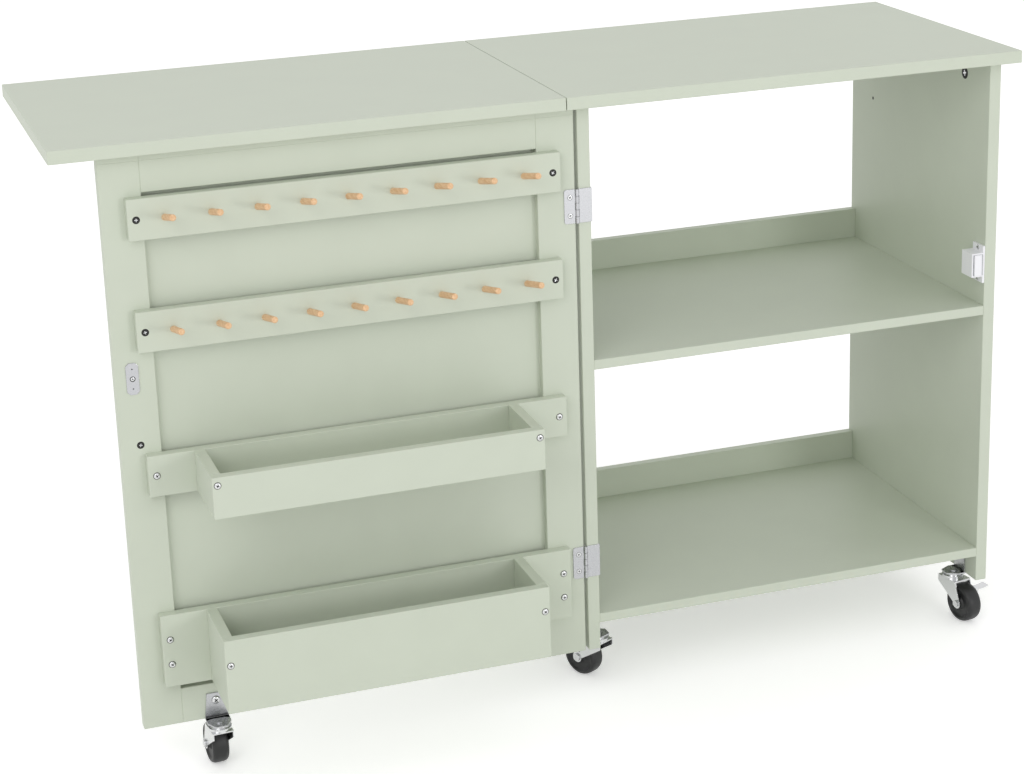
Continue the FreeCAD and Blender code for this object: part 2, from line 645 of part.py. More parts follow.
def casterAxle(name):
    # a pin through both cheeks, with a nut on one end and a round head on the other
    body = newBody(name)
    side = "forkWide / 2"
    add(body, "XZ_Plane", ring("smallSides", "axleRadius", *axleAt), "0 - " + side, "forkWide")
    nutLow = "0 - %s - axleHeadThick" % side
    add(body, "XZ_Plane", ring("nutSides", "axleHead", *axleAt), nutLow, "axleHeadThick")
    add(body, "XZ_Plane", ring("smallSides", "axleHead", *axleAt), side, "axleHeadThick")
    return body


plainFork = casterFork("plainFork", False)
brakedFork = casterFork("brakedFork", True)
pedalMaster = casterPedal("pedalMaster")
wheelMaster = casterWheel("wheelMaster")
axleMaster = casterAxle("axleMaster")
casters = [("door", "doorKingpinX", "doorKingpinY", "doorCasterAngle", False),
           ("front_right", "kingpinRightX", "frontKingpin", "frontRightAngle", True),
           ("front_left", "kingpinLeftX", "frontKingpin", "frontLeftAngle", True),
           ("back_right", "kingpinRightX", "backKingpin", "backRightAngle", False),
           ("back_left", "kingpinLeftX", "backKingpin", "backLeftAngle", False)]
for side, across, back, angle, braked in casters:
    members = [("fork", brakedFork if braked else plainFork), ("axle", axleMaster), ("wheel", wheelMaster)]
    if braked:
        members.append(("pedal", pedalMaster))
    for part, master in members:
        node = "caster_%s_%s" % (side, part)
        pieces[node] = copy(master, node + "Turned", (across, back, "0"), upright, angle)

cabinetBracket = casterBracket("cabinetBracketMaster", "cabinetKingpinInset")
doorBracket = casterBracket("doorBracketMaster", "doorKingpinInset")
kingpinBacks = ("frontKingpin", "backKingpin")
rightSpots = [("kingpinRightX", back, "0") for back in kingpinBacks]
leftSpots = [("kingpinLeftX", back, "0") for back in kingpinBacks]
rightBrackets = copies("rightBrackets", cabinetBracket, rightSpots, downward, "90")
leftBrackets = copies("leftBrackets", cabinetBracket, leftSpots, upright, "90")
pieces["caster_brackets"] = together("cabinetBrackets", [leftBrackets, rightBrackets])
pieces["door_caster_bracket"] = copy(doorBracket, "doorBracketPlaced", ("doorKingpinX", "doorKingpinY", "0"))


# ---- door frame: grooved stiles and rails round a thin panel, bevelled along the top ----
def stile(name, outer, inner, into):
    # into is "+" where the groove runs from the inner edge towards +X, "-" towards -X
    bottom = "%s %s grooveDepth" % (inner, into)
    corners = [(outer, "0"), (inner, "0"), (inner, "panelFront"), (bottom, "panelFront"),
               (bottom, "panelBack"), (inner, "panelBack"), (inner, "boardThick"), (outer, "boardThick")]
    body = newBody(name)
    add(body, "XY_Plane", corners, "panelBottom", "doorTopFront - panelBottom")
    bevel = [("0", "doorTopFront"), ("boardThick", "doorTopFront"), ("boardThick", "doorTopBack")]
    cut(body, "YZ_Plane", bevel, "doorLeft", "doorWidth")
    chamfer(body, "edgeEase", outerEdges)
    return body


def rail(name, low, high, highBack, grooved, sign):
    # grooved is the level of the edge that holds the panel, and sign says which way the groove runs
    bottom = "%s %s grooveDepth" % (grooved, sign)
    notch = [("panelFront", grooved), ("panelFront", bottom), ("panelBack", bottom), ("panelBack", grooved)]
    corners = [("0", low), ("boardThick", low), ("boardThick", highBack), ("0", high)]
    if sign == "+":
        corners[1:1] = notch
    else:
        corners[3:3] = notch[::-1]
    body = newBody(name)
    add(body, "YZ_Plane", corners, "freeStileInner", "railSpan")
    chamfer(body, "edgeEase", outerEdges)
    return body


pieces["free_stile"] = stile("freeStileBoard", "doorLeft", "freeStileInner", "-")
pieces["hinge_stile"] = stile("hingeStileBoard", "doorRight", "hingeStileInner", "+")
pieces["door_top_rail"] = rail("topRailBoard", "topRailEdge", "doorTopFront", "doorTopBack",
                               "topRailEdge", "+")
pieces["door_bottom_rail"] = rail("bottomRailBoard", "panelBottom", "bottomRailEdge", "bottomRailEdge",
                                  "bottomRailEdge", "-")
panelBody = newBody("doorPanelBoard")
panelCorners = rectangle("freeStileInner - panelSeat", "hingeStileInner + panelSeat",
                         "bottomRailEdge - panelSeat", "topRailEdge + panelSeat")
add(panelBody, "XZ_Plane", panelCorners, "panelFront", "doorPanelThick")
pieces["door_panel"] = panelBody


# ---- boards on the door ----
def doorBoard(name, bottom, height, left="railLeft", length="spoolRailLength", face="plateFace"):
    corners = rectangle(left, "%s + %s" % (left, length), bottom, "%s + %s" % (bottom, height))
    return board(name, "XZ_Plane", corners, face, "shelfThick")


pegMaster = newBody("pegMaster")
add(pegMaster, "XY_Plane", ring("smallSides", "pegRadius"), "0 - pegSeat", "pegSeat + pegProud")
chamfer(pegMaster, "pegTip", endEdges, "Z", ("Max",))


def spoolRail(side, bottom):
    # a rail with a row of leaning pegs seated in its face
    spots = [("railLeft + pegStart + pegPitch * %d" % number, "plateFace", bottom + " + pegRise")
             for number in range(int(value("pegCount")))]
    pegs = copies(side + "Pegs", pegMaster, spots, (1, 0, 0), "90 - pegTilt")
    blank = doorBoard(side + "RailBoard", bottom, "spoolRailHeight")
    pieces["spool_rail_" + side] = bored(side + "RailBored", blank, pegs)
    return pegs


upperPegs = spoolRail("upper", "upperRailBottom")
lowerPegs = spoolRail("lower", "lowerRailBottom")
pieces["spool_pegs"] = together("spoolPegs", [upperPegs, lowerPegs])


def openBox(name, bottom, height):
    # a back plate on the door, two ends, a front board over the ends and a thin floor between them
    pieces[name + "_back"] = doorBoard(name + "BackBoard", bottom, height)
    pieces[name + "_front"] = doorBoard(name + "FrontBoard", bottom, height,
                                        "boxLeft", "boxLength", "boxFace")
    corners = rectangle("boxFace + shelfThick", "plateFace", bottom, "%s + %s" % (bottom, height))
    ends = [board(name + "LeftEnd", "YZ_Plane", corners, "boxLeft", "shelfThick"),
            board(name + "RightEnd", "YZ_Plane", corners, "boxRight - shelfThick", "shelfThick")]
    pieces[name + "_ends"] = together(name + "Ends", ends)
    floor = newBody(name + "Floor")
    corners = rectangle("boxLeft + shelfThick", "boxRight - shelfThick", "boxFace + shelfThick", "plateFace")
    add(floor, "XY_Plane", corners, bottom + " + boxFloorLift", "boxFloorThick")
    pieces[name + "_floor"] = floor


openBox("tray", "trayBottom", "trayHeight")
openBox("bin", "binBottom", "binHeight")

# ---- strike plate and knob ----
strikeBody = newBody("strikeBody")
strikeCorners = [("strikeLeft + strikeCut", "strikeLow"), ("strikeRight - strikeCut", "strikeLow"),
                 ("strikeRight", "strikeLow + strikeCut"), ("strikeRight", "strikeHigh - strikeCut"),
                 ("strikeRight - strikeCut", "strikeHigh"), ("strikeLeft + strikeCut", "strikeHigh"),
                 ("strikeLeft", "strikeHigh - strikeCut"), ("strikeLeft", "strikeLow + strikeCut")]
add(strikeBody, "XZ_Plane", strikeCorners, "0 - strikeThick", "strikeThick")
pieces["strike_plate"] = strikeBody
knobBody = newBody("knobBody")
add(knobBody, "XY_Plane", ring("knobSides", "knobRadius"), "knobNeckLength", "knobReach - knobNeckLength")
chamfer(knobBody, "knobBevel", endEdges, "Z", ("Min", "Max"))
add(knobBody, "XY_Plane", ring("knobSides", "knobNeck"), "0", "knobNeckLength + knobBevel")
pieces["knob"] = copy(knobBody, "knobPlaced", ("knobX", "boardThick", "knobHeight"), *toBack)

# ---- checks and export ----
# Each piece moves forward by middleY, so that the whole table stands about the frame's origin.
standing = {}
for name, piece in pieces.items():
    standing[name] = together(name, [piece])
    standing[name].setExpression("Placement.Base.y", fromSheet("0 - middleY"))
document.recompute()
for item in document.Objects:
    if "Invalid" in item.State or "Error" in item.State:
        raise RuntimeError("%s failed: %s" % (item.Label, item.State))
for name, piece in standing.items():
    shape = piece.Shape
    if piece.Label != name:
        raise RuntimeError("the label %s is taken" % name)
    if shape.isNull() or not shape.isValid() or not shape.Solids:
        raise RuntimeError("%s has no valid shape" % name)
os.makedirs("parts", exist_ok=True)
for name, piece in standing.items():
    piece.Shape.exportStep("parts/%s.step" % name)
    print("%-28s %3d solids %12.1f mm3" % (name, len(piece.Shape.Solids), piece.Shape.Volume))
print(len(standing), "sub-parts")
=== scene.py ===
import math

import bmesh
import bpy
from mathutils import Matrix, Vector
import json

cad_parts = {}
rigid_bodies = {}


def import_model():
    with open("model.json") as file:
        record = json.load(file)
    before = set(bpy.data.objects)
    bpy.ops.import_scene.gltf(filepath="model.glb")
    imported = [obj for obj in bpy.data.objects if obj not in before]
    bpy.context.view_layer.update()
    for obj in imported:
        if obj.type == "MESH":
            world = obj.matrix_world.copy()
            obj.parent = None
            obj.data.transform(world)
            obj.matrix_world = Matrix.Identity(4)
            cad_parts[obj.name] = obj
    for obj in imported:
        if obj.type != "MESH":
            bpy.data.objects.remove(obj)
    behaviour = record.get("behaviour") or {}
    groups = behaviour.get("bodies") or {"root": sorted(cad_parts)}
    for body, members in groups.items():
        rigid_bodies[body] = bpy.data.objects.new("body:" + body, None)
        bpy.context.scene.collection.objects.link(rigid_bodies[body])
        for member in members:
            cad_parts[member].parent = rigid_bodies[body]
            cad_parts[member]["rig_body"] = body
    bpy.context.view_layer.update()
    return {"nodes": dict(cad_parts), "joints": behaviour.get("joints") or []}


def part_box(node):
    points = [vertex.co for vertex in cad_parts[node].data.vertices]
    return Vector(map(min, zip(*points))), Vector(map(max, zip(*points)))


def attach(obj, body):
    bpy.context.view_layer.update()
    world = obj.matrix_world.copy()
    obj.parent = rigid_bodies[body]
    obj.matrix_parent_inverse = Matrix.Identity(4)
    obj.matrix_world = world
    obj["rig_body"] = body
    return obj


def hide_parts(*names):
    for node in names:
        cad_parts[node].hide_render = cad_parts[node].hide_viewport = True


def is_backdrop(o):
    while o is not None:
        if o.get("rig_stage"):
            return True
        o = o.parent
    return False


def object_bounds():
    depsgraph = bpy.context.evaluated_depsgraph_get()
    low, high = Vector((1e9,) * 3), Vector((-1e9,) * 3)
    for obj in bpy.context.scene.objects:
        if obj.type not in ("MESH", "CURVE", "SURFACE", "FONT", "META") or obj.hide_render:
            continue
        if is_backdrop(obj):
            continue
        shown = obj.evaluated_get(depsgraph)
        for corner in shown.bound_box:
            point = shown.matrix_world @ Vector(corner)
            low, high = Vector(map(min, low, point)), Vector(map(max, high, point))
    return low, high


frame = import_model()
scene = bpy.context.scene
nodes = frame["nodes"]
mm = 0.001
print("frame loaded:", len(nodes), "nodes")

shaderSockets = {"roughness": "Roughness", "metallic": "Metallic", "ior": "IOR"}
noiseDetail = 4  # layers of finer noise in each pattern
toneSpan = (0.35, 0.65)  # the part of a noise's range over which a colour runs


def linear(code):
    # an sRGB hex colour as the linear RGBA that the shaders take
    channels = [int(code[start:start + 2], 16) / 255 for start in (1, 3, 5)]
    return tuple(channel / 12.92 if channel <= 0.04045 else ((channel + 0.055) / 1.055) ** 2.4
                 for channel in channels) + (1.0,)


def addNode(material, kind, settings=None, links=None):
    # a shader node with its settings, its sockets' values and its incoming links
    node = material.node_tree.nodes.new(kind)
    for name, setting in (settings or {}).items():
        if name in node.inputs:
            node.inputs[name].default_value = setting
        else:
            setattr(node, name, setting)
    for name, output in (links or {}).items():
        material.node_tree.links.new(output, node.inputs[name])
    return node


def feed(material, output, socket):
    # links an output to a socket of the material's own shader
    shader = material.node_tree.nodes["Principled BSDF"]
    material.node_tree.links.new(output, shader.inputs[socket])


def grain(material, pattern):
    # a noise with features of the pattern's size; a small stretch draws them out along that axis
    stretch = pattern.get("stretch", (1, 1, 1))
    place = addNode(material, "ShaderNodeTexCoord")
    mapping = addNode(material, "ShaderNodeMapping", {"Scale": stretch}, {"Vector": place.outputs["Object"]})
    noise = addNode(material, "ShaderNodeTexNoise", {"Scale": 1 / pattern["size"], "Detail": noiseDetail},
                    {"Vector": mapping.outputs["Vector"]})
    return noise.outputs["Fac"]


def newMaterial(name, look):
    # a finish from its look: over the plain values relief lifts the surface, tones vary the colour and sheen
    # varies the roughness
    material = bpy.data.materials.new(name)
    material.use_nodes = True
    material.diffuse_color = linear(look["colour"])
    inputs = material.node_tree.nodes["Principled BSDF"].inputs
    inputs["Base Color"].default_value = linear(look["colour"])
    for word, socket in shaderSockets.items():
        if word in look:
            inputs[socket].default_value = look[word]
    if "relief" in look:
        relief = look["relief"]
        bump = addNode(material, "ShaderNodeBump", {"Distance": relief["depth"]},
                       {"Height": grain(material, relief)})
        feed(material, bump.outputs["Normal"], "Normal")
    if "tones" in look:
        tones = look["tones"]
        ramp = addNode(material, "ShaderNodeValToRGB", links={"Fac": grain(material, tones)})
        for element, place, tone in zip(ramp.color_ramp.elements, toneSpan, ("dark", "light")):
            element.position = place
            element.color = linear(tones[tone])
        feed(material, ramp.outputs["Color"], "Base Color")
    if "sheen" in look:
        sheen = look["sheen"]
        spread = addNode(material, "ShaderNodeMapRange", {"To Min": sheen["low"], "To Max": sheen["high"]},
                         {"Value": grain(material, sheen)})
        feed(material, spread.outputs["Result"], "Roughness")
    return material


# satin paint, rolled on smooth board: an even sage green with a faint roller peel
painted = newMaterial("satinSagePaint", {
    "colour": "#C8CFBF", "roughness": 0.42, "ior": 1.5,
    "relief": {"size": 1.4 * mm, "depth": 0.02 * mm},
    "tones": {"size": 60 * mm, "dark": "#C7CEBE", "light": "#C9D0C0"},
    "sheen": {"size": 60 * mm, "low": 0.42, "high": 0.5}})

# bright zinc plate on pressed steel: a soft shine with grey streaks, and crystals that are drawn coarse
# enough to show
zinc = newMaterial("brightZincPlate", {
    "colour": "#B8B9BC", "roughness": 0.28, "metallic": 1.0,
    "relief": {"size": 1.1 * mm, "depth": 0.012 * mm},
    "sheen": {"size": 3 * mm, "stretch": (1, 1, 5), "low": 0.22, "high": 0.34}})

# polished zinc plate on the forks and pedals: clear reflections with a few duller spots
polished = newMaterial("polishedZincPlate", {
    "colour": "#D6D7D8", "roughness": 0.16, "metallic": 1.0,
    "sheen": {"size": 4 * mm, "low": 0.1, "high": 0.24}})

# nickel-plated screws and pins, tumbled in a barrel: an even shine with soft scuffs
screwSteel = newMaterial("nickelPlatedSteel", {
    "colour": "#D3D4D5", "roughness": 0.26, "metallic": 1.0,
    "sheen": {"size": 1.2 * mm, "low": 0.2, "high": 0.32}})

# painted shade: the dull dark painted where a screw's recess, a drilled hole or a sunk head lies in shade
paintedShade = newMaterial("paintedShadeRecess", {
    "colour": "#1E1F1D", "roughness": 0.7,
    "sheen": {"size": 1 * mm, "low": 0.62, "high": 0.78}})

# moulded black rubber of the wheels: a dull skin with a fine pebble, drawn coarse enough to show
rubber = newMaterial("mouldedBlackRubber", {
    "colour": "#151617", "roughness": 0.46, "ior": 1.52,
    "relief": {"size": 0.8 * mm, "depth": 0.03 * mm},
    "sheen": {"size": 5 * mm, "low": 0.38, "high": 0.54}})

# white moulded plastic of the catch: a soft gloss with the faint pebble of a spark-eroded mould, drawn
# coarse enough to show
plasticPebble = {"size": 0.9 * mm}
plastic = newMaterial("whiteMouldedPlastic", {
    "colour": "#F0F0F4", "roughness": 0.36, "ior": 1.54,
    "relief": {**plasticPebble, "depth": 0.015 * mm},
    "sheen": {**plasticPebble, "low": 0.3, "high": 0.42}})

# sintered ferrite of the magnet: a dull charcoal grit, drawn coarse enough to show
ferrite = newMaterial("sinteredFerrite", {
    "colour": "#2A2A2C", "roughness": 0.6, "ior": 2.3,
    "relief": {"size": 0.5 * mm, "depth": 0.02 * mm}})

# turned and sanded beech: a warm matt wood with its grain along the peg, drawn coarse enough to show
beechGrain = {"size": 2.2 * mm, "stretch": (1, 0.12, 1)}
beech = newMaterial("sandedBeech", {
    "colour": "#E0B68C", "roughness": 0.56, "ior": 1.53,
    "relief": {**beechGrain, "depth": 0.03 * mm},
    "tones": {**beechGrain, "dark": "#D8AC80", "light": "#E6C198"}})

# satin nickel of the knob, brushed round its axis: a soft warm shine in rings, drawn coarse enough to show
nickelBrush = {"size": 1.5 * mm, "stretch": (0.3, 4, 0.3)}
nickel = newMaterial("satinNickel", {
    "colour": "#C8C4BB", "roughness": 0.3, "metallic": 1.0,
    "relief": {**nickelBrush, "depth": 0.01 * mm},
    "sheen": {**nickelBrush, "low": 0.24, "high": 0.38}})

materialByWord = {"_wheel": rubber, "_fork": polished, "_axle": screwSteel, "_pedal": polished,
                  "hinge_pins": screwSteel, "bracket": zinc, "hinge_leaves": zinc, "_plates": zinc,
                  "strike_plate": zinc, "catch_housing": plastic, "catch_magnet": ferrite,
                  "spool_pegs": beech, "knob": nickel}


def materialOf(node):
    # a piece takes the material of the first word that its name holds, and the boards are painted
    return next((material for word, material in materialByWord.items() if word in node), painted)


for name, item in nodes.items():
    item.data.materials.clear()
    item.data.materials.append(materialOf(name))
print("materials made:", len(bpy.data.materials))

bodyOf = {name: item["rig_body"] for name, item in nodes.items()}
quarter = math.radians(90)  # a quarter turn
turnTo = {"front": (quarter, "X"), "back": (-quarter, "X"), "left": (-quarter, "Y"), "right": (quarter, "Y"),
          "down": (2 * quarter, "X")}
creaseAngle = math.radians(38)  # an edge that turns more than this stays sharp
weldDistance = 0.001 * mm


def at(place, way):
    # a place where a piece's own Z axis faces one way
    angle, axis = turnTo[way]
    return Matrix.Translation(place) @ Matrix.Rotation(angle, 4, axis)


def lathe(mesh, turn, profile, steps, material=0):
    # revolves (radius, height) points about the turned Z axis, from the bottom outwards to the top
    rings = []
    for radius, height in profile:
        angles = [2 * math.pi * step / steps for step in range(steps if radius > 0 else 1)]
        points = [(radius * math.cos(angle), radius * math.sin(angle), height) for angle in angles]
        rings.append([mesh.verts.new(turn @ Vector(point)) for point in points])
    for lower, upper in zip(rings, rings[1:]):
        for step in range(steps):
            following = (step + 1) % steps
            corners = [lower[step % len(lower)], lower[following % len(lower)],
                       upper[following % len(upper)], upper[step % len(upper)]]
            face = mesh.faces.new(list(dict.fromkeys(corners)))  # a ring of one point gives a triangle
            face.material_index = material
    return rings


def finishPiece(name, mesh, materials, body, replaced=()):
    # turns the built mesh into a piece of the scene that moves with a body
    bmesh.ops.recalc_face_normals(mesh, faces=mesh.faces)
    for face in mesh.faces:
        face.smooth = True
    for edge in mesh.edges:
        edge.smooth = len(edge.link_faces) == 2 and edge.calc_face_angle() < creaseAngle
    data = bpy.data.meshes.new(name)
    mesh.to_mesh(data)
    mesh.free()
    for material in materials:
        data.materials.append(material)
    piece = bpy.data.objects.new(name, data)
    scene.collection.objects.link(piece)
    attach(piece, body)
    if replaced:
        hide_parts(*replaced)
    return piece


# Radii and heights of the heads. The ring is a disc of painted shade round a head, where the edge of its
# hole lies in shade; a dark head is painted in shade too.
panHead = {"radius": 3.7 * mm, "height": 1.5 * mm, "ring": 4.25 * mm}
# the dark sunk and cam heads are painted shade, with a painted highlight in their cross
sunkHead = {"radius": 3.7 * mm, "height": 0.5 * mm, "ring": 4.3 * mm, "dark": True}
strikeHead = {"radius": 2.3 * mm, "height": 0.4 * mm, "ring": 3.2 * mm}
hingeHead = {"radius": 2.9 * mm, "height": 0.13 * mm, "ring": 3.2 * mm}
plateHead = {"radius": 2.9 * mm, "height": 0.8 * mm, "ring": 3.05 * mm}
bracketHead = {"radius": 4.9 * mm, "height": 2.2 * mm, "ring": 5.1 * mm}
camHead = {"radius": 7.2 * mm, "height": 0.4 * mm, "ring": 7.6 * mm, "dark": True}
panelHead = {"radius": 4.6 * mm, "height": 0.3 * mm, "ring": 4.9 * mm}
shadeDiscLift = 0.06 * mm  # how far the dark ring stands out of its board
# What all heads share: the dome and the cross in shares of a head's radius and height, and the spin in
# radians from one head to the next.
headForm = {"steps": 24, "dome": [(1, 0), (1, 0.3), (0.93, 0.62), (0.78, 0.88), (0.55, 1)],
            "arm": 0.5, "half": 0.13, "bottomWidth": 0.55, "bottomHeight": 0.35, "spin": 0.9}


def crossRing(mesh, turn, radius, height, scale):
    # the twelve corners of a cross in a plane across the turned Z axis
    arm = headForm["arm"] * radius * scale
    half = headForm["half"] * radius * scale
    corners = []
    for number in range(4):
        spin = Matrix.Rotation(quarter * number, 3, "Z")
        corners += [mesh.verts.new(turn @ (spin @ Vector((across, up, 0)) + Vector((0, 0, height))))
                    for across, up in ((arm, -half), (arm, half), (half, half))]
    return corners


def loopEdges(mesh, corners):
    pairs = zip(corners, corners[1:] + corners[:1])
    return [mesh.edges.get(pair) or mesh.edges.new(pair) for pair in pairs]


def holeShadeDisc(mesh, turn, radius):
    # painted shade: a dark disc where the mouth of a hole lies in shade; material 1 is the painted shade
    lathe(mesh, turn, [(0, 0), (radius, 0), (radius, shadeDiscLift), (0, shadeDiscLift)], headForm["steps"], 1)


def crossHead(mesh, turn, size):
    # a low domed head with its cross recess in painted shade, over a ring of painted shade; a dark head is
    # painted shade, with a painted highlight in its recess
    radius, height = size["radius"], size["height"]
    headMaterial, crossMaterial = (1, 0) if size.get("dark") else (0, 1)
    holeShadeDisc(mesh, turn, size["ring"])
    dome = [(across * radius, up * height) for across, up in headForm["dome"]]
    rim = lathe(mesh, turn, dome, headForm["steps"], headMaterial)[-1]
    edge = crossRing(mesh, turn, radius, height, 1)
    bottom = crossRing(mesh, turn, radius, headForm["bottomHeight"] * height, headForm["bottomWidth"])
    fill = bmesh.ops.triangle_fill(mesh, use_beauty=True, edges=loopEdges(mesh, rim) + loopEdges(mesh, edge))
    for face in fill["geom"]:
        if isinstance(face, bmesh.types.BMFace):
            face.material_index = headMaterial
    for number in range(len(edge)):
        following = (number + 1) % len(edge)
        wall = mesh.faces.new((edge[number], edge[following], bottom[following], bottom[number]))
        wall.material_index = crossMaterial
    mesh.faces.new(bottom).material_index = crossMaterial


def screwSet(name, body, spots, holes=()):
    # spots are (place, way that the head faces, head's size), holes are (place, way, radius) and are drawn
    # as discs of painted shade
    mesh = bmesh.new()
    for number, (place, way, size) in enumerate(spots):
        crossHead(mesh, at(place, way) @ Matrix.Rotation(headForm["spin"] * number, 4, "Z"), size)
    for place, way, radius in holes:
        holeShadeDisc(mesh, at(place, way), radius)
    finishPiece(name, mesh, [screwSteel, paintedShade], body)


def frontMiddle(node):
    # the middle of a node's front side
    low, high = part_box(node)
    return Vector(((low[0] + high[0]) / 2, low[1], (low[2] + high[2]) / 2))


# screws in the boards on the door: the head, how far it is from a board's ends and above its lower edge
boardScrews = {"spool_rail_upper": (sunkHead, 9.5 * mm, [23.5 * mm]),
               "spool_rail_lower": (sunkHead, 9.5 * mm, [23.5 * mm]),
               "tray_back": (panHead, 9.5 * mm, [25 * mm]),
               "bin_back": (panHead, 9.5 * mm, [28 * mm, 59 * mm]),
               "tray_front": (panHead, 6 * mm, [39.5 * mm]),
               "bin_front": (panHead, 6 * mm, [59 * mm])}
doorSpots = []
for node, (size, inset, rises) in boardScrews.items():
    low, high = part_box(node)
    doorSpots += [(Vector((across, low[1], low[2] + rise)), "front", size)
                  for rise in rises for across in (low[0] + inset, high[0] - inset)]

# the screws of a door hinge: their rise from a leaf's ends, and how far they are in from the door leaf's
# free side and back from the cabinet's front edge
doorHinge = {"height": 41 * mm, "sheet": 1.2 * mm, "screwRise": 9.5 * mm, "screwInset": 7.2 * mm,
             "screwBack": 10 * mm}
hingeLow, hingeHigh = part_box("door_hinge_leaves")
hingeScrewHeights = [bottom + rise for bottom in (hingeLow[2], hingeHigh[2] - doorHinge["height"])
                     for rise in (doorHinge["screwRise"], doorHinge["height"] - doorHinge["screwRise"])]
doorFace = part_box("hinge_stile")[0][1]
doorSpots += [(Vector((hingeLow[0] + doorHinge["screwInset"], doorFace - doorHinge["sheet"], height)),
               "front", hingeHead) for height in hingeScrewHeights]

strikeMiddle = frontMiddle("strike_plate")
# the pips are drawn as discs of painted shade
pip = {"radius": 0.8 * mm, "away": 11.5 * mm}  # two punched pips, above and below the plate's screw
strikePips = [(strikeMiddle + Vector((0, 0, pip["away"] * side)), "front", pip["radius"])
              for side in (-1, 1)]
knobMiddle = frontMiddle("knob")
bracket = {"sheet": 2 * mm, "screwDrop": 9 * mm, "screwBacks": (40 * mm, 327 * mm)}
low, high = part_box("door_caster_bracket")
bracketScrew = Vector(((low[0] + high[0]) / 2, doorFace - bracket["sheet"], high[2] - bracket["screwDrop"]))
doorSpots += [(strikeMiddle, "front", strikeHead),
              (Vector((knobMiddle[0], doorFace, knobMiddle[2])), "front", sunkHead),
              (bracketScrew, "front", bracketHead)]
screwSet("doorScrews", "door", doorSpots, strikePips)

leftLow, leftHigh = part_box("side_panel_left")
rightLow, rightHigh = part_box("side_panel_right")
frontEdge = leftLow[1]
panelTop = leftHigh[2]


def insideHeads(back, height, size, proud=0.0):
    # the same head on the inner faces of both side panels, or on a sheet that stands proud of them
    return [(Vector((leftHigh[0] + proud, back, height)), "right", size),
            (Vector((rightLow[0] - proud, back, height)), "left", size)]


def outsideHeads(back, height, size):
    # the same head on the outer faces of both side panels
    return [(Vector((leftLow[0], back, height)), "left", size),
            (Vector((rightHigh[0], back, height)), "right", size)]


cabinetSpots = [(Vector((leftHigh[0] + doorHinge["sheet"], frontEdge + doorHinge["screwBack"], height)),
                 "right", plateHead) for height in hingeScrewHeights]
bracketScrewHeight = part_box("caster_brackets")[1][2] - bracket["screwDrop"]
for back in bracket["screwBacks"]:
    cabinetSpots += insideHeads(frontEdge + back, bracketScrewHeight, bracketHead, bracket["sheet"])
camLock = {"backs": (62 * mm, 305 * mm), "drop": 24 * mm}
for back in camLock["backs"]:
    cabinetSpots += insideHeads(frontEdge + back, panelTop - camLock["drop"], camHead)
shelfScrewBacks = (62 * mm, 290 * mm)
for shelf, rail in (("middle_shelf", "middle_back_rail"), ("bottom_shelf", "bottom_back_rail")):
    shelfHeight = frontMiddle(shelf)[2]
    railLow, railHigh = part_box(rail)
    for back in shelfScrewBacks:
        cabinetSpots += outsideHeads(frontEdge + back, shelfHeight, panelHead)
    cabinetSpots += outsideHeads((railLow[1] + railHigh[1]) / 2, (railLow[2] + railHigh[2]) / 2, panelHead)

# base is the thickness of the catch's lugs, and skin that of the white face before its magnet
catch = {"base": 3 * mm, "screwInset": 4.2 * mm, "skin": 0.5 * mm}
catchLow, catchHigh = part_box("catch_housing")
catchMiddle = (catchLow[1] + catchHigh[1]) / 2
cabinetSpots += [(Vector((catchHigh[0] - catch["base"], catchMiddle, height)), "left", plateHead)
                 for height in (catchLow[2] + catch["screwInset"], catchHigh[2] - catch["screwInset"])]

# the hinges under the seam: a screw's place back from a plate's front end and out from the seam
leafHinge = {"count": 3, "pitch": 125 * mm, "sheet": 1.2 * mm, "screwBacks": (10 * mm, 40 * mm),
             "screwReach": 9.3 * mm}
plateLow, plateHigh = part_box("leaf_hinge_fixed_plates")
plateUnder = plateHigh[2] - leafHinge["sheet"]
leafScrewBacks = [plateLow[1] + leafHinge["pitch"] * number + back
                  for number in range(leafHinge["count"]) for back in leafHinge["screwBacks"]]


def leafHingeHeads(side):
    # the heads under the leaf hinges, in the fixed plates on side 1 and the moving ones on side -1
    return [(Vector((side * leafHinge["screwReach"], back, plateUnder)), "down", plateHead)
            for back in leafScrewBacks]


cabinetSpots += leafHingeHeads(1)
leafSpots = leafHingeHeads(-1)
# the empty hole is drawn as a disc of painted shade
spareHole = {"back": 307 * mm, "drop": 104 * mm, "radius": 2.2 * mm}  # left empty in the right panel
sparePlace = Vector((rightLow[0], frontEdge + spareHole["back"], panelTop - spareHole["drop"]))
screwSet("cabinetScrews", "cabinet", cabinetSpots, [(sparePlace, "left", spareHole["radius"])])
screwSet("leafScrews", "drop_leaf", leafSpots)
print("screws placed:", len(doorSpots) + len(cabinetSpots) + len(leafSpots))

# a peg tips up by the tilt, and its seat is the part inside the rail
peg = {"radius": 3.7 * mm, "proud": 53 * mm, "seat": 6 * mm, "start": 41 * mm, "pitch": 51.8 * mm,
       "count": 9, "tilt": math.radians(13), "tip": 1.1 * mm, "tipSteps": 4, "steps": 28}
pegProfile = [(0, -peg["seat"]), (peg["radius"], -peg["seat"])]
for number in range(peg["tipSteps"] + 1):
    angle = quarter * number / peg["tipSteps"]
    pegProfile.append((peg["radius"] - peg["tip"] * (1 - math.cos(angle)),
                       peg["proud"] - peg["tip"] * (1 - math.sin(angle))))
pegProfile.append((0, peg["proud"]))
pegMesh = bmesh.new()
for node in ("spool_rail_upper", "spool_rail_lower"):
    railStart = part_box(node)[0][0]
    railMiddle = frontMiddle(node)
    for number in range(peg["count"]):
        across = railStart + peg["start"] + peg["pitch"] * number
        turn = Matrix.Translation((across, railMiddle[1], railMiddle[2]))
        turn = turn @ Matrix.Rotation(quarter - peg["tilt"], 4, "X")
        lathe(pegMesh, turn, pegProfile, peg["steps"])
finishPiece("turnedPegs", pegMesh, [beech], "door", ["spool_pegs"])

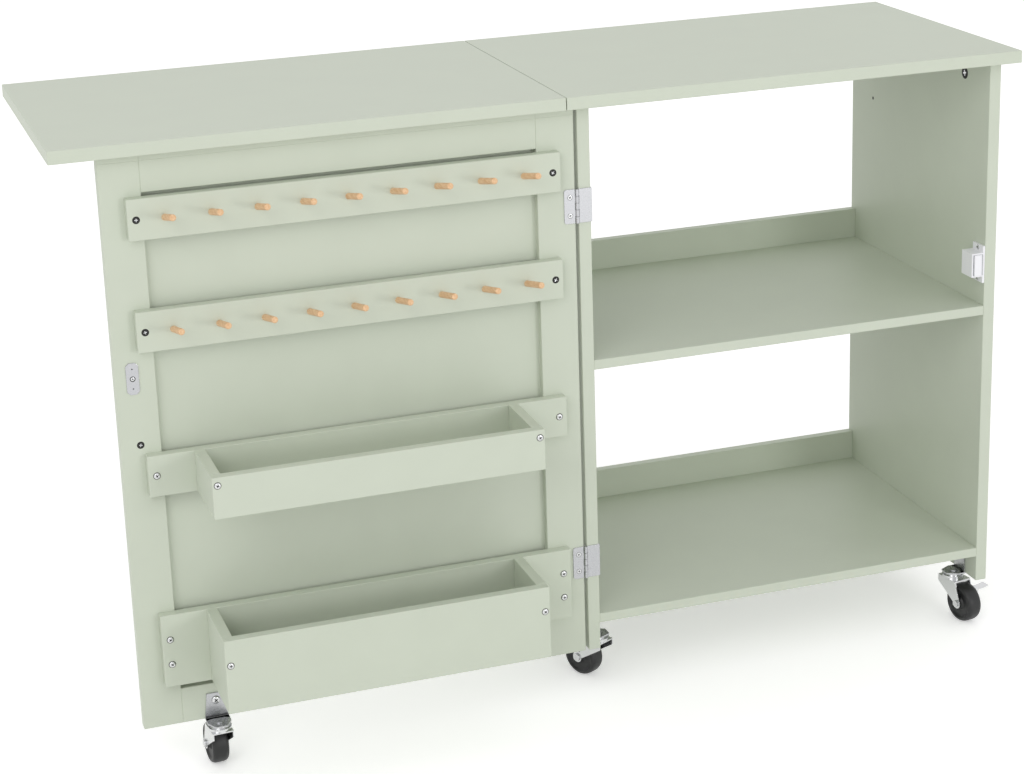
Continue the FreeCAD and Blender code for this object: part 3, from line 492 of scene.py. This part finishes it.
# half is half a wheel's width; the flank is how far the tread falls in at its sides, as a share of the
# round shoulder
wheel = {"radius": 25 * mm, "half": 10 * mm, "shoulder": 6.5 * mm, "flank": 0.6, "shoulderSteps": 6,
         "bore": 3.1 * mm, "hub": 7.5 * mm, "rim": 18.6 * mm, "dish": 2.4 * mm, "lip": 0.7 * mm, "steps": 72}


def wheelSide(sign):
    # from the bore outwards to the middle of the tread, on one side of the wheel
    half, lip, shoulder = wheel["half"], wheel["lip"], wheel["shoulder"]
    inner = half - wheel["dish"]
    points = [(wheel["bore"], half), (wheel["hub"] - lip, half), (wheel["hub"], half - lip),
              (wheel["hub"] + lip, inner + lip), (wheel["hub"] + 2 * lip, inner),
              (wheel["rim"] - 2 * lip, inner), (wheel["rim"], inner + lip),
              (wheel["rim"] + lip, half - lip), (wheel["rim"] + 2 * lip, half)]
    for number in range(wheel["shoulderSteps"] + 1):
        angle = quarter * number / wheel["shoulderSteps"]
        points.append((wheel["radius"] - wheel["flank"] * shoulder * (1 - math.sin(angle)),
                       half - shoulder * (1 - math.cos(angle))))
    return [(radius, sign * height) for radius, height in points]


# out along one side, back along the other and closed through the bore
wheelProfile = wheelSide(-1) + wheelSide(1)[::-1] + wheelSide(-1)[:1]
jointOf = {joint["name"]: joint for joint in frame["joints"]}
for node in [name for name in nodes if name.endswith("_wheel")]:
    side = node[len("caster_"):-len("_wheel")]
    joint = jointOf["wheel_roll_" + side]
    turn = Vector(joint["axis"]).to_track_quat("Z", "Y").to_matrix().to_4x4()
    mesh = bmesh.new()
    lathe(mesh, Matrix.Translation(joint["pos_m"]) @ turn, wheelProfile, wheel["steps"])
    bmesh.ops.remove_doubles(mesh, verts=mesh.verts, dist=weldDistance)
    finishPiece("wheel_" + side, mesh, [rubber], bodyOf[node], [node])

# the widths of the rounded edges on pressed steel and on the catch
edgeWidths = {"_fork": 0.5 * mm, "_axle": 0.4 * mm, "_pedal": 0.35 * mm, "bracket": 0.45 * mm,
              "hinge_leaves": 0.25 * mm, "_plates": 0.25 * mm, "strike_plate": 0.3 * mm,
              "hinge_pins": 0.15 * mm, "catch_housing": 0.7 * mm}
edgeSegments = 2
# the round corners on the free side of the door's hinge leaves; near is how closely they are found
leafCorner = {"node": "door_hinge_leaves", "radius": 3 * mm, "segments": 6, "flat": math.radians(1),
              "near": 0.01 * mm}


def roundCorners(mesh, across):
    # the corners lie at one place along X, and their short edges run along Y
    bmesh.ops.dissolve_limit(mesh, angle_limit=leafCorner["flat"], verts=mesh.verts, edges=mesh.edges)
    corners = [edge for edge in mesh.edges
               if all(abs(vert.co.x - across) < leafCorner["near"] for vert in edge.verts)
               and abs(edge.verts[0].co.z - edge.verts[1].co.z) < leafCorner["near"]]
    bmesh.ops.bevel(mesh, geom=corners, offset=leafCorner["radius"], segments=leafCorner["segments"],
                    profile=0.5, affect="EDGES")


def softenEdges(node, width):
    # a welded copy of a node's mesh with its sharp edges rounded, in the node's place
    mesh = bmesh.new()
    mesh.from_mesh(nodes[node].data)
    bmesh.ops.remove_doubles(mesh, verts=mesh.verts, dist=weldDistance)
    if node == leafCorner["node"]:
        roundCorners(mesh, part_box(node)[0][0])
    piece = finishPiece(node + "Soft", mesh, [materialOf(node)], bodyOf[node], [node])
    bevel = piece.modifiers.new("roundedEdges", "BEVEL")
    bevel.width = width
    bevel.segments = edgeSegments
    bevel.limit_method = "ANGLE"
    bevel.angle_limit = creaseAngle
    bevel.harden_normals = True


for name in list(nodes):
    width = next((width for word, width in edgeWidths.items() if word in name), None)
    if width:
        softenEdges(name, width)

# a turned knob: a foot, a neck and a head whose rim is an arc, in degrees from its lower to its upper end
knob = {"foot": 8 * mm, "footHeight": 1.2 * mm, "neck": 6.5 * mm, "neckStart": 3 * mm, "neckEnd": 8 * mm,
        "head": 13 * mm, "headHeight": 16.8 * mm, "roundIn": 5 * mm, "roundUp": 7 * mm,
        "arc": range(-70, 91, 20), "reach": 24 * mm, "steps": 48}
knobProfile = [(0, 0), (knob["foot"], 0), (knob["foot"], knob["footHeight"]),
               (knob["neck"], knob["neckStart"]), (knob["neck"], knob["neckEnd"])]
for angle in map(math.radians, knob["arc"]):
    knobProfile.append((knob["head"] - knob["roundIn"] * (1 - math.cos(angle)),
                        knob["headHeight"] + knob["roundUp"] * math.sin(angle)))
knobProfile.append((0, knob["reach"]))
mesh = bmesh.new()
lathe(mesh, at(knobMiddle, "back"), knobProfile, knob["steps"])
finishPiece("turnedKnob", mesh, [nickel], "door", ["knob"])
print("pieces dressed")


def slab(mesh, start, end, section):
    # a straight length along X with a section of (depth, height) corners
    ends = [[mesh.verts.new((across, depth, height)) for depth, height in section]
            for across in (start, end)]
    mesh.faces.new(ends[0])
    mesh.faces.new(ends[1])
    for number in range(len(section)):
        following = (number + 1) % len(section)
        mesh.faces.new((ends[0][number], ends[0][following], ends[1][following], ends[1][number]))


# a strip that closes most of the gap over the door; it slopes down to the door's outer face
edging = {"rise": 8.2 * mm, "drop": 7.5 * mm, "seam": 0.1 * mm}
mesh = bmesh.new()
for node in ("free_stile", "door_top_rail", "hinge_stile"):
    low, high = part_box(node)
    slab(mesh, low[0] + edging["seam"], high[0] - edging["seam"],
         [(low[1], high[2]), (low[1], high[2] + edging["rise"]),
          (high[1], high[2] + edging["rise"] - edging["drop"]), (high[1], high[2] - edging["drop"])])
finishPiece("doorTopEdging", mesh, [painted], "door")

# the white skin over the magnet
low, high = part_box("catch_magnet")
skinFront = low[1] - catch["skin"]
mesh = bmesh.new()
slab(mesh, low[0], high[0],
     [(skinFront, low[2]), (skinFront, high[2]), (low[1], high[2]), (low[1], low[2])])
finishPiece("catchFace", mesh, [plastic], "cabinet")
print("edging and catch face added")

# place is in metres, the angles in degrees and sensor in millimetres; focal is the focal length in pixels of
# a frame that is width pixels wide, and rise is the lens shift
view = {"place": (-0.8794, -2.6085, 1.3276), "heading": 18.176, "down": 17.172, "roll": -1.893,
        "focal": 2339.3, "width": 1024, "sensor": 36.0, "rise": -0.085, "clip": (0.05, 60)}
cameraData = bpy.data.cameras.new("camera")
cameraData.sensor_width = view["sensor"]
cameraData.lens = view["focal"] / view["width"] * view["sensor"]
cameraData.shift_y = view["rise"]
cameraData.clip_start, cameraData.clip_end = view["clip"]
camera = bpy.data.objects.new("camera", cameraData)
scene.collection.objects.link(camera)
heading, down, roll = (math.radians(view[key]) for key in ("heading", "down", "roll"))
forward = Vector((math.sin(heading) * math.cos(down), math.cos(heading) * math.cos(down), -math.sin(down)))
right = Vector((math.cos(heading), -math.sin(heading), 0))
up = right.cross(forward)
across = right * math.cos(roll) + up * math.sin(roll)
upward = across.cross(forward)
turn = Matrix((across, upward, -forward)).transposed()
camera.matrix_world = Matrix.Translation(view["place"]) @ turn.to_4x4()
scene.camera = camera

# the floor's half width in metres, and the strengths of its glow, the light from around and the backdrop
studio = {"floorHalf": 40, "floorGlow": 0.37, "world": 0.79, "backdrop": 1.0}


def whereSeen(owner, low, high):
    # a strength that is high only where the floor or world is seen, directly or in a reflection
    rays = addNode(owner, "ShaderNodeLightPath")
    seen = rays.outputs["Is Camera Ray"]
    for kind in ("Is Glossy Ray", "Is Transmission Ray"):
        both = addNode(owner, "ShaderNodeMath", {"operation": "ADD", "use_clamp": True},
                       {0: seen, 1: rays.outputs[kind]})
        seen = both.outputs["Value"]
    strength = addNode(owner, "ShaderNodeMapRange", {"To Min": low, "To Max": high}, {"Value": seen})
    return strength.outputs["Result"]


# pale painted floor: dull and even, with a glow that brings it up to the backdrop's white
floorMaterial = newMaterial("paleStudioFloor", {"colour": "#F4F4F3", "roughness": 0.8})
feed(floorMaterial, whereSeen(floorMaterial, 0.0, studio["floorGlow"]), "Emission Strength")
half = studio["floorHalf"]
floorMesh = bpy.data.meshes.new("floor")
floorMesh.from_pydata([(-half, -half, 0), (half, -half, 0), (half, half, 0), (-half, half, 0)], [],
                      [(0, 1, 2, 3)])
floorMesh.materials.append(floorMaterial)
floor = bpy.data.objects.new("floor", floorMesh)
scene.collection.objects.link(floor)
floor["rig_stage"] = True

world = bpy.data.worlds.new("studio")
world.use_nodes = True
sky = world.node_tree.nodes["Background"].inputs
sky["Color"].default_value = (1, 1, 1, 1)
world.node_tree.links.new(whereSeen(world, studio["world"], studio["backdrop"]), sky["Strength"])
scene.world = world

lampAim = Vector((0, 0, 0.42))
lamps = {"keyLight": {"place": (1.6, -3.8, 1.0), "size": 0.8, "power": 22.0},
         "fillLight": {"place": (-2.2, -2.6, 2.4), "size": 2.0, "power": 25.0}}
for name, lamp in lamps.items():
    data = bpy.data.lights.new(name, "AREA")
    data.shape, data.size, data.energy = "SQUARE", lamp["size"], lamp["power"]
    light = bpy.data.objects.new(name, data)
    scene.collection.objects.link(light)
    light.location = lamp["place"]
    light.rotation_euler = (lampAim - light.location).to_track_quat("-Z", "Y").to_euler()
scene.view_settings.view_transform = "Standard"
print("camera and light placed")

low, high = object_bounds()
